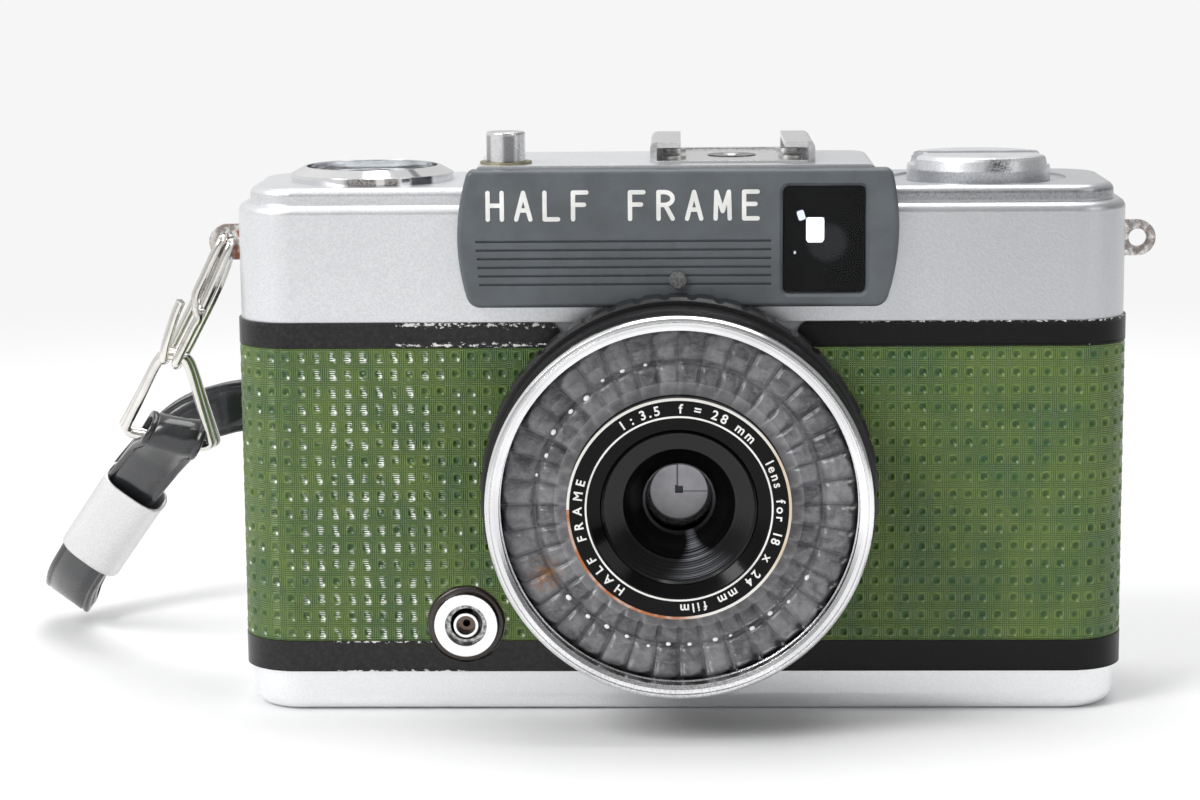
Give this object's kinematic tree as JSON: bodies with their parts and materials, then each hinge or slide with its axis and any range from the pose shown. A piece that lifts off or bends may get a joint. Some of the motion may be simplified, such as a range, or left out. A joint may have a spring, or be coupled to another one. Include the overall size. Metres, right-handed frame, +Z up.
{
  "type": "half frame camera",
  "caption": "Compact half frame film camera with a round faceted light cell about its lens, a finder fascia, hot shoe, rewind crank, hinged back and wrist strap.",
  "frame": {"origin": "middle of the body in plan, on the underside of the base plate", "axes": "+Z up, -Y towards the subject, the way the lens faces, +X to the right when facing the lens"},
  "size_m": [0.1491, 0.0908, 0.0727],
  "materials": {
    "satin_silver": "fine satin, blasted",
    "cast_alloy": "cast",
    "green_leather": "embossed grid, lacquered",
    "black_trim": "fine crinkle",
    "hood_plastic": "smooth moulded",
    "steel": "plain",
    "chrome": "polished",
    "nickel_wire": "worn nickel plating",
    "black_metal": "semi-gloss",
    "brass": "tarnished",
    "glass": "coated",
    "clear_plastic": "faceted",
    "cell_grey": "dark",
    "blade_grey": "matt",
    "dial_white": "printed",
    "black_plastic": "moulded",
    "vinyl": "glossy soft vinyl",
    "ferrule_metal": "satin"
  },
  "bodies": {
    "body": {"body_casting": "cast_alloy", "front_leather": "green_leather", "upper_trim": "black_trim", "lower_trim": "black_trim", "base_plate": "satin_silver", "screws": "steel", "tripod_socket": "steel", "top_cover": "satin_silver", "strap_lugs": "nickel_wire", "front_hood": "hood_plastic", "hood_pin": "steel", "finder_window": "glass", "finder_tube": "black_plastic", "finder_front_lens": "glass", "eyepiece_frame": "black_plastic", "eyepiece_lens": "glass", "hot_shoe": "chrome", "shoe_insulator": "black_plastic", "shoe_contact": "steel", "release_collar": "brass", "release_spring": "steel", "counter_bezel": "chrome", "counter_cover": "glass", "lens_mount": "black_metal", "lens_barrel": "black_metal", "front_ring": "chrome", "cell_window": "clear_plastic", "photocell": "cell_grey", "name_ring": "black_metal", "front_cone": "black_metal", "front_lens": "glass", "rear_lens": "glass", "shutter_housing": "black_metal", "sync_shell": "chrome", "sync_contact": "steel", "film_gate": "steel", "hinge_pin": "steel"},
    "release_button": {"release_button": "chrome"},
    "rewind_release": {"rewind_release_button": "steel"},
    "winding_wheel": {"winding_wheel": "black_plastic"},
    "take_up_spool": {"take_up_spool": "black_plastic"},
    "sprocket": {"sprocket": "black_plastic"},
    "counter_dial": {"counter_dial": "dial_white"},
    "rewind_knob": {"rewind_knob": "satin_silver"},
    "rewind_crank": {"rewind_crank": "satin_silver"},
    "crank_grip": {"crank_grip": "black_plastic"},
    "exposure_ring": {"exposure_ring": "black_metal"},
    "aperture_blade_a": {"aperture_blade_a": "blade_grey"},
    "aperture_blade_b": {"aperture_blade_b": "blade_grey"},
    "shutter_blade_a": {"shutter_blade_a": "black_metal"},
    "shutter_blade_b": {"shutter_blade_b": "black_metal"},
    "rear_door": {"rear_door": "satin_silver", "door_leather": "green_leather", "pressure_spring": "steel"},
    "pressure_plate": {"pressure_plate": "black_metal"},
    "door_latch": {"door_latch": "satin_silver"},
    "strap_link": {"strap_link": "nickel_wire"},
    "strap_ring": {"strap_ring": "nickel_wire"},
    "wrist_strap": {"wrist_strap": "vinyl", "ferrule": "ferrule_metal"}
  },
  "joints": [
    {"name": "release_press", "type": "slide", "parent": "body", "child": "release_button", "axis": [0, 0, -1], "range_m": [0, 0.0015], "stiffness_N_per_m": 60, "springref_m": -0.001, "deforming": ["release_spring"]},
    {"name": "rewind_release_press", "type": "slide", "parent": "body", "child": "rewind_release", "axis": [0, 0, 1], "range_m": [0, 0.0012]},
    {"name": "winding_turn", "type": "hinge", "parent": "body", "child": "winding_wheel", "pos_m": [-0.0391, 0.0008, 0.0533], "axis": [0, 0, 1], "continuous": true},
    {"name": "take_up_turn", "type": "hinge", "parent": "body", "child": "take_up_spool", "pos_m": [-0.0391, 0.0008, 0.027], "axis": [0, 0, 1], "continuous": true},
    {"name": "sprocket_turn", "type": "hinge", "parent": "body", "child": "sprocket", "pos_m": [-0.0186, 0.0029, 0.027], "axis": [0, 0, 1], "continuous": true},
    {"name": "counter_turn", "type": "hinge", "parent": "body", "child": "counter_dial", "pos_m": [-0.0391, 0.0008, 0.0656], "axis": [0, 0, 1], "continuous": true},
    {"name": "rewind_turn", "type": "hinge", "parent": "body", "child": "rewind_knob", "pos_m": [0.0376, 0.0002, 0.067], "axis": [0, 0, 1], "continuous": true},
    {"name": "crank_fold", "type": "hinge", "parent": "rewind_knob", "child": "rewind_crank", "pos_m": [0.0312, 0.0002, 0.0683], "axis": [0, -1, 0], "range_deg": [0, 170]},
    {"name": "crank_grip_spin", "type": "hinge", "parent": "rewind_crank", "child": "crank_grip", "pos_m": [0.0438, 0.0002, 0.067], "axis": [0, 0, 1], "continuous": true},
    {"name": "exposure_turn", "type": "hinge", "parent": "body", "child": "exposure_ring", "pos_m": [-0.0003, -0.0185, 0.0292], "axis": [0, -1, 0], "range_deg": [0, 100]},
    {"name": "aperture_a_swing", "type": "hinge", "parent": "body", "child": "aperture_blade_a", "pos_m": [0.0073, -0.0168, 0.0216], "axis": [0, -1, 0], "range_deg": [0, 35]},
    {"name": "aperture_b_swing", "type": "hinge", "parent": "body", "child": "aperture_blade_b", "pos_m": [-0.0079, -0.0172, 0.0368], "axis": [0, -1, 0], "range_deg": [0, 35]},
    {"name": "shutter_a_swing", "type": "hinge", "parent": "body", "child": "shutter_blade_a", "pos_m": [-0.0035, -0.0161, 0.0188], "axis": [0, -1, 0], "range_deg": [0, 40]},
    {"name": "shutter_b_swing", "type": "hinge", "parent": "body", "child": "shutter_blade_b", "pos_m": [0.0029, -0.0155, 0.0188], "axis": [0, 1, 0], "range_deg": [0, 40]},
    {"name": "rear_door_open", "type": "hinge", "parent": "body", "child": "rear_door", "pos_m": [-0.0542, 0.0099, 0.0274], "axis": [0, 0, 1], "range_deg": [0, 90]},
    {"name": "pressure_plate_float", "type": "slide", "parent": "rear_door", "child": "pressure_plate", "axis": [0, 1, 0], "range_m": [0, 0.0004], "deforming": ["pressure_spring"]},
    {"name": "door_latch_slide", "type": "slide", "parent": "body", "child": "door_latch", "axis": [0, 0, -1], "range_m": [0, 0.003]},
    {"name": "strap_link_swing", "type": "hinge", "parent": "body", "child": "strap_link", "pos_m": [-0.05774, 0, 0.0582], "axis": [0, 1, 0], "range_deg": [-4, 60]},
    {"name": "strap_ring_swing", "type": "hinge", "parent": "strap_link", "child": "strap_ring", "pos_m": [-0.0649, 0, 0.0434], "axis": [0.987, 0, -0.161], "range_deg": [-8, 35]},
    {"name": "strap_swing", "type": "hinge", "parent": "strap_ring", "child": "wrist_strap", "pos_m": [-0.0669, 0.006, 0.0316], "axis": [0.987, 0, -0.161], "range_deg": [-8, 30]}
  ],
  "couplings": [
    {"joint": "take_up_turn", "follows": "winding_turn", "ratio": 1},
    {"joint": "sprocket_turn", "follows": "winding_turn", "ratio": 0.75},
    {"joint": "counter_turn", "follows": "winding_turn", "ratio": -0.02},
    {"joint": "aperture_a_swing", "follows": "exposure_turn", "ratio": 0.35},
    {"joint": "aperture_b_swing", "follows": "exposure_turn", "ratio": 0.35},
    {"joint": "shutter_b_swing", "follows": "shutter_a_swing", "ratio": 1}
  ]
}
